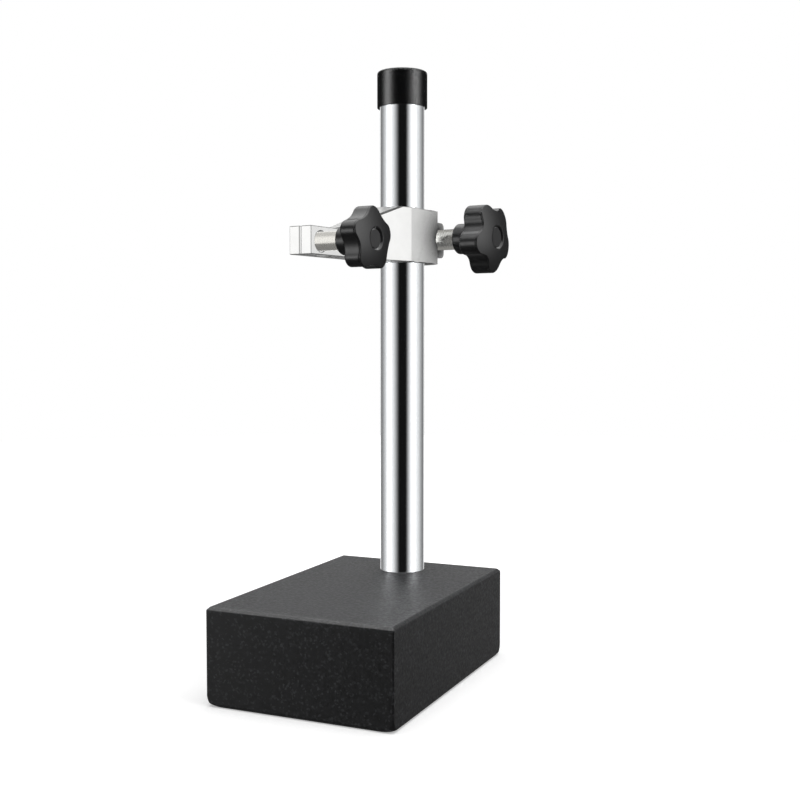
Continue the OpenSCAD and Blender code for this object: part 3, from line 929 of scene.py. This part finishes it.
class STAND_OT_arm(StandOperator, bpy.types.Operator):
    """Builds the clamp arm from its solid, with flat sides to its boss and every edge broken."""

    bl_idname = "stand.arm"
    bl_label = "Clamp arm"

    def execute(self, context):
        edges = context.scene.stand_edges
        look = context.scene.stand_looks
        blasted = blasted_aluminium("Bead-blasted aluminium", look.aluminium, look.aluminium_dark)
        # Painted shade: the broken edges and the top bevels get a darker grey of the same blasted
        # finish, which outlines the arm
        edge = look.aluminium_edge_shade
        edge_shade_finish = blasted_aluminium("Aluminium edge with painted shade", edge, edge)
        across = Axis(COLUMN_AXIS.origin, COLUMN_SCREW_AXIS.along, BACKWARDS)
        part = Part("arm_finished", "clamp_arm", blasted, "bead_blasted_aluminium")
        rounded_copy(part, edges.arm_round, (across, edges.boss_half_width), edge_shade_finish)
        return {"FINISHED"}


class STAND_OT_clamp_screws(StandOperator, bpy.types.Operator):
    """Builds the two threaded screws and the sleeves round them."""

    bl_idname = "stand.clamp_screws"
    bl_label = "Screws and sleeves"

    def execute(self, context):
        look = context.scene.stand_looks
        edges = context.scene.stand_edges
        bevel = 0.5 * MM
        for prefix, axis, pitch in (
            ("column", COLUMN_SCREW_AXIS, edges.column_pitch),
            ("stem", STEM_SCREW_AXIS, edges.stem_pitch),
        ):
            name = f"Nickel plated turned steel, {prefix} screw"
            metal = turned_metal(name, look.plated_steel, 0.2, 0.3, axis, 0.5 * MM)
            screw = prefix + "_screw"
            sleeve = prefix + "_sleeve"
            start, end, radius = axis.span(screw)
            part = Part(screw + "_finished", screw, metal, "zinc_plated_steel")
            threaded_rod(part, axis, start, end, radius, pitch)
            low, high, outer = axis.span(sleeve)
            bore = radius + 0.05 * MM
            corners = [
                (low, bore), (low, outer - bevel), (low + bevel, outer), (high - bevel, outer),
                (high, outer - bevel), (high, bore),
            ]
            part = Part(sleeve + "_finished", sleeve, metal, "zinc_plated_steel")
            turned_tube(part, axis, corners, [0.1 * MM] * 6, 128)
        return {"FINISHED"}


class STAND_OT_knobs(StandOperator, bpy.types.Operator):
    """Builds the two star knobs with their bushes and face discs."""

    bl_idname = "stand.knobs"
    bl_label = "Star knobs"

    def execute(self, context):
        scene = context.scene
        look = scene.stand_looks
        grain = 0.5 * MM
        plastic = moulded_plastic("Moulded black thermoplastic", look.knob, 0.32, 0.4, grain, 0.12)
        disc_plastic = moulded_plastic(
            "Moulded black disc plastic", look.disc, 0.32, 0.4, grain, 0.1
        )
        for prefix, axis, sizes in (
            ("column", COLUMN_SCREW_AXIS, scene.column_knob_sizes),
            ("stem", STEM_SCREW_AXIS, scene.stem_knob_sizes),
        ):
            knob = prefix + "_knob"
            places = knob_places(axis, prefix, sizes)
            star_knob(Part(knob + "_finished", knob, plastic, "knob_plastic"), axis, sizes, places)
            brass = turned_metal(
                f"Turned brass, {prefix} bush", look.brass, 0.2, 0.3, axis, 0.4 * MM
            )
            inner = axis.span(prefix + "_screw")[2] + 0.02 * MM
            low, high, outer = places["bush_start"], places["bush_end"], places["bush"]
            part = Part(prefix + "_bush_finished", knob + "_bush", brass, "brass")
            corners = [(low, inner), (low, outer), (high, outer), (high, inner)]
            turned_tube(part, axis, corners, [0.2 * MM] * 4)
            bottom, top = places["disc_bottom"], places["disc_top"]
            disc = places["disc"] - sizes.disc_gap
            part = Part(prefix + "_disc_finished", knob + "_disc", disc_plastic, "disc_plastic")
            corners = [(bottom, 0), (bottom, disc), (top, disc), (top, 0)]
            turned_solid(part, axis, corners, [0.2 * MM, 0.45 * MM], 128)
        return {"FINISHED"}


# ---- the studio

def smooth_step(low, high, value):
    """0 below low, 1 above high, and a smooth cubic rise between them."""
    t = np.clip((value - low) / (high - low), 0, 1)
    return t * t * (3 - 2 * t)


def bell(value, middle, width):
    """1 at the middle, falling to both sides as exp(-((value - middle) / width) ** 2)."""
    return np.exp(-(((value - middle) / width) ** 2))


# Pairs of rises in degrees over which the floor goes over into the walls and they into the roof
PLAIN_STEPS = ((-27, -16), (28, 50))


def stacked(rise, levels, steps=PLAIN_STEPS):
    """Levels one above another, with a smooth step over a pair of rises between each two."""
    glow = levels[0]
    for upper, (start, end) in zip(levels[1:], steps):
        glow = glow + (upper - glow) * smooth_step(start, end, rise)
    return glow


# The light that each finish shows, by the turn in degrees from the camera's direction, positive
# to its right, and the rise in degrees above the middle of the object

def column_light(turn, rise):
    """A dark gap at the camera, a lit wall and a brighter strip at each side, two strips behind."""
    right = turn > 0
    away = np.abs(turn)
    gap = np.where(right, smooth_step(17, 52, away), smooth_step(13, 62, away))
    lit = 1 / (1 + np.exp((away - 103) / 12))
    strips = 2 * bell(away, np.where(right, 62, 74), 10) + 1.1 * bell(away, 158, 8)
    walls = 0.01 + gap * (0.2 + 1.3 * lit) + strips
    return stacked(rise, (0.25, walls, 1.2))


def cap_light(turn, rise):
    """A strip at each side and dark cloth elsewhere."""
    walls = 0.05 + 4.2 * bell(turn, -70, 20) + 4.2 * bell(turn, 64, 23)
    return stacked(rise, (0.1, walls, 1.6))


def knob_light(turn, rise):
    """A low strip at the left, a tall one at the right and a bright roof above a dark gap."""
    left = 4.5 * bell(turn, -66, 17) * smooth_step(-20, -12, rise) * (1 - smooth_step(2, 11, rise))
    right = 3.2 * bell(turn, 75, 25) * smooth_step(-12, 2, rise) * (1 - smooth_step(33, 43, rise))
    return stacked(rise, (0.1, 0.06, 2.6), ((-12, 2), (33, 43))) + left + right


def arm_light(turn, rise):
    """Walls in front and at both sides that dim towards the back, a bright band and a dim roof."""
    walls = 0.1 + 1.72 * (1 - smooth_step(84, 140, np.abs(turn)))
    return stacked(rise, (0.4, walls, 2.0, 0.35), ((-27, -16), (6, 18), (33, 45)))


def column_sleeve_light(turn, rise):
    """Dim cloth all round under a lighter roof, for the sleeve that stands beside the boss."""
    return stacked(rise, (0.32, 0.18, 0.5))


def stem_sleeve_light(turn, rise):
    """A lit wall all round under a dimmer roof."""
    return stacked(rise, (0.28, 1.2, 0.75))


def granite_light(turn, rise):
    """A lit wall at the left, dim cloth in front, lighter cloth behind and a bright roof."""
    walls = 0.04 + 0.33 * smooth_step(60, 120, np.abs(turn)) + 2.6 * bell(turn, -86, 18)
    return stacked(rise, (0.12, walls, 3.2))


def seen_directly(tree):
    """1 for camera, glossy and transmission rays, which see the white background."""
    rays = add(tree, "ShaderNodeLightPath").outputs
    seen = rays["Is Camera Ray"]
    for kind in ("Is Glossy Ray", "Is Transmission Ray"):
        both = add(tree, "ShaderNodeMath", {0: seen, 1: rays[kind]}, operation="MAXIMUM")
        seen = both.outputs["Value"]
    return seen


class STAND_OT_studio(StandOperator, bpy.types.Operator):
    """Sets up the floor, the reflecting walls, the lamps, the background and the camera."""

    bl_idname = "stand.studio"
    bl_label = "Studio and camera"

    # Each finish has a light of its own, as in a picture put together from several exposures: name,
    # share of the shell's radius, light, and the pieces that show it. Only the outermost shell
    # stops rays.
    SHELLS = (
        ("Knob shell", 0.8, knob_light, (
            "column_knob_finished", "stem_knob_finished", "column_disc_finished",
            "stem_disc_finished",
        )),
        ("Arm shell", 0.84, arm_light, ("arm_finished",)),
        ("Granite shell", 0.88, granite_light, ("granite_block",)),
        ("Cap shell", 0.92, cap_light, ("cap_finished",)),
        ("Column sleeve shell", 0.95, column_sleeve_light, ("column_sleeve_finished",)),
        ("Stem sleeve shell", 0.97, stem_sleeve_light, ("stem_sleeve_finished",)),
        ("Column shell", 1.0, column_light, (
            "column_finished", "column_screw_finished", "stem_screw_finished",
            "column_bush_finished", "stem_bush_finished", "column_bolt_finished",
            "bolt_washer_finished", "bolt_lock_washer_finished",
        )),
    )

    def execute(self, context):
        scene = context.scene
        sizes = scene.studio_sizes
        # The picture is retouched: no piece shows up in another, only the column in the granite
        for shell in self.SHELLS:
            for name in shell[-1]:
                bpy.data.objects[name].visible_glossy = name == "column_finished"
        self.add_camera(scene, sizes)
        self.add_world(scene, sizes)
        for shell in self.SHELLS:
            self.add_shell(scene, sizes, *shell)
        self.add_floor(scene)
        self.add_lamp(scene, "Top lamp", sizes.top_power, 1.4, (0.15, -0.1, 1.9))
        self.add_lamp(scene, "Side lamp", sizes.side_power, 1.0, (1.6, -0.2, 1.2))
        scene.view_settings.view_transform = "Standard"
        return {"FINISHED"}

    def add_camera(self, scene, sizes):
        """The camera stands where the picture was taken from."""
        data = bpy.data.cameras.new("Camera")
        data.lens = sizes.lens
        data.sensor_width = 36
        data.clip_start = 0.01
        data.clip_end = 50
        camera = bpy.data.objects.new("Camera", data)
        camera.location = sizes.camera_place
        camera.rotation_euler = sizes.camera_turn
        scene.collection.objects.link(camera)
        scene.camera = camera

    def add_world(self, scene, sizes):
        """White where it is seen, and an even softer light for shading."""
        world = bpy.data.worlds.new("Studio")
        world.use_nodes = True
        tree = world.node_tree
        tree.nodes.clear()
        strength = remap(tree, seen_directly(tree), 0.0, 1.0, sizes.world_level, 1.0)
        sky = add(tree, "ShaderNodeBackground", {"Color": WHITE, "Strength": strength})
        show(tree, sky.outputs["Background"], "ShaderNodeOutputWorld")
        scene.world = world

    def add_shell(self, scene, sizes, name, share, light, pieces):
        """A sphere round the object that only the reflections in some pieces see.

        Point (i, j) lies at the shell's radius, at rise e(i) and at angle 2 pi j / columns round
        the column. Its glow is light(turn from the camera's direction, rise). Shells lie inside
        each other and let rays through, apart from the outermost one.
        """
        columns = 180
        height = 190 * MM
        radius = sizes.shell_radius * share
        rise = np.linspace(-86, 86, 87)[:, None]
        angle = angles_round(columns)
        up, out = radius * np.sin(np.radians(rise)), radius * np.cos(np.radians(rise))
        rings = COLUMN_AXIS.place(height + up, out, angle)
        points = between_poles(COLUMN_AXIS, height - radius, rings, height + radius)
        mesh = new_mesh(name, points, wrapped_faces(len(rise), columns, False))
        to_camera = np.array(sizes.camera_place) - COLUMN_AXIS.origin
        facing = math.atan2(to_camera[1], to_camera[0])
        turn = np.degrees((angle - facing + math.pi) % TURN - math.pi)
        glow = np.broadcast_to(light(turn, rise), (len(rise), columns))
        values = np.concatenate([glow[0, :1], glow.ravel(), glow[-1, :1]])
        layer = mesh.attributes.new("glow", "FLOAT", "POINT")
        layer.data.foreach_set("value", values.astype(np.float32))
        material, tree = empty_material("Lit studio cloth, " + name)
        material.cycles.emission_sampling = "NONE"
        strength = add(tree, "ShaderNodeAttribute", attribute_name="glow").outputs["Fac"]
        shader = add(tree, "ShaderNodeEmission", {"Color": WHITE, "Strength": strength})
        surface = shader.outputs["Emission"]
        if share < 1:
            clear = add(tree, "ShaderNodeBsdfTransparent").outputs["BSDF"]
            surface = add(tree, "ShaderNodeAddShader", {0: surface, 1: clear}).outputs["Shader"]
        show(tree, surface)
        mesh.materials.append(material)
        shell = bpy.data.objects.new(name, mesh)
        for rays in ("camera", "diffuse", "shadow", "transmission"):
            setattr(shell, "visible_" + rays, False)
        lit = bpy.data.collections.new(name + " receivers")
        for piece in pieces:
            lit.objects.link(bpy.data.objects[piece])
        shell.light_linking.receiver_collection = lit
        scene.collection.objects.link(shell)

    def add_floor(self, scene):
        """A round white floor that keeps the object's shadow.

        Point (i, j) lies at radius r(i) and angle 2 pi j / columns, at height 0. The floor glows
        white outside the shadow's reach, so that its rim can't be told from the background.
        """
        columns = 96
        radius = np.array([0.4, 0.8, 1.5])[:, None]
        rings = Axis((0, 0, 0), (0, 0, 1), (1, 0, 0)).place(0.0, radius, angles_round(columns))
        points = np.concatenate([[[0, 0, 0]], rings.reshape(-1, 3)])
        j = np.arange(columns)
        k = (j + 1) % columns
        centre = np.stack([np.zeros_like(j), j + 1, k + 1], axis=-1)
        low = np.arange(len(radius) - 1)[:, None] * columns + 1
        high = low + columns
        bands = np.stack([low + j, high + j, high + k, low + k], axis=-1).reshape(-1, 4)
        mesh = new_mesh("Floor", points, centre.tolist() + bands.tolist())
        material, tree = empty_material("White table")
        paint = add(tree, "ShaderNodeBsdfDiffuse", {"Color": linear("#f4f4f4")}).outputs["BSDF"]
        place = add(tree, "ShaderNodeTexCoord").outputs["Object"]
        reach = add(tree, "ShaderNodeVectorMath", {0: place}, operation="LENGTH").outputs["Value"]
        lift = remap(tree, reach, 0.16, 0.5, 0.35, 1.0, interpolation_type="SMOOTHSTEP")
        seen = add(tree, "ShaderNodeMath", {0: lift, 1: seen_directly(tree)}, operation="MULTIPLY")
        glow = {"Color": WHITE, "Strength": seen.outputs["Value"]}
        light = add(tree, "ShaderNodeEmission", glow).outputs["Emission"]
        show(tree, add(tree, "ShaderNodeAddShader", {0: paint, 1: light}).outputs["Shader"])
        mesh.materials.append(material)
        floor = bpy.data.objects.new("Floor", mesh)
        floor.visible_glossy = False
        scene.collection.objects.link(floor)

    def add_lamp(self, scene, name, power, size, place):
        """A square soft lamp that points at the middle of the object."""
        data = bpy.data.lights.new(name, "AREA")
        data.energy = power
        data.size = size
        lamp = bpy.data.objects.new(name, data)
        lamp.location = place
        lamp.visible_glossy = False
        target = np.array([0.0, 0.0, 0.15])
        away = np.array(place) - target
        flat = math.hypot(away[0], away[1])
        lamp.rotation_euler = (math.atan2(flat, away[2]), 0.0, math.atan2(away[0], -away[1]))
        scene.collection.objects.link(lamp)


GROUPS = {
    "stand_looks": StandLooks,
    "stand_edges": EdgeSizes,
    "column_knob_sizes": ColumnKnobSizes,
    "stem_knob_sizes": StemKnobSizes,
    "studio_sizes": StudioSizes,
}
OPERATORS = (
    STAND_OT_granite, STAND_OT_bolt, STAND_OT_column, STAND_OT_cap, STAND_OT_arm,
    STAND_OT_clamp_screws, STAND_OT_knobs, STAND_OT_studio,
)


class STAND_PT_panel(bpy.types.Panel):
    """Lists the operators and the sizes and colours that they use."""

    bl_label = "Comparator stand"
    bl_idname = "STAND_PT_panel"
    bl_space_type = "VIEW_3D"
    bl_region_type = "UI"
    bl_category = "Stand"

    def draw(self, context):
        layout = self.layout
        for operator in OPERATORS:
            layout.operator(operator.bl_idname)
        for owner in GROUPS:
            group = getattr(context.scene, owner)
            box = layout.box()
            for key in group.bl_rna.properties.keys():
                if key not in ("rna_type", "name"):
                    box.prop(group, key)


CLASSES = (*GROUPS.values(), *OPERATORS, STAND_PT_panel)


def register():
    for item in CLASSES:
        bpy.utils.register_class(item)
    for name, group in GROUPS.items():
        setattr(bpy.types.Scene, name, PointerProperty(type=group))


def unregister():
    for name in GROUPS:
        delattr(bpy.types.Scene, name)
    for item in reversed(CLASSES):
        bpy.utils.unregister_class(item)


def main():
    """Builds everything."""
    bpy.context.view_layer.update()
    register()
    bpy.ops.stand.granite()
    bpy.ops.stand.bolt()
    bpy.ops.stand.column()
    bpy.ops.stand.cap()
    bpy.ops.stand.arm()
    bpy.ops.stand.clamp_screws()
    bpy.ops.stand.knobs()
    bpy.ops.stand.studio()


if __name__ == "__main__":
    main()
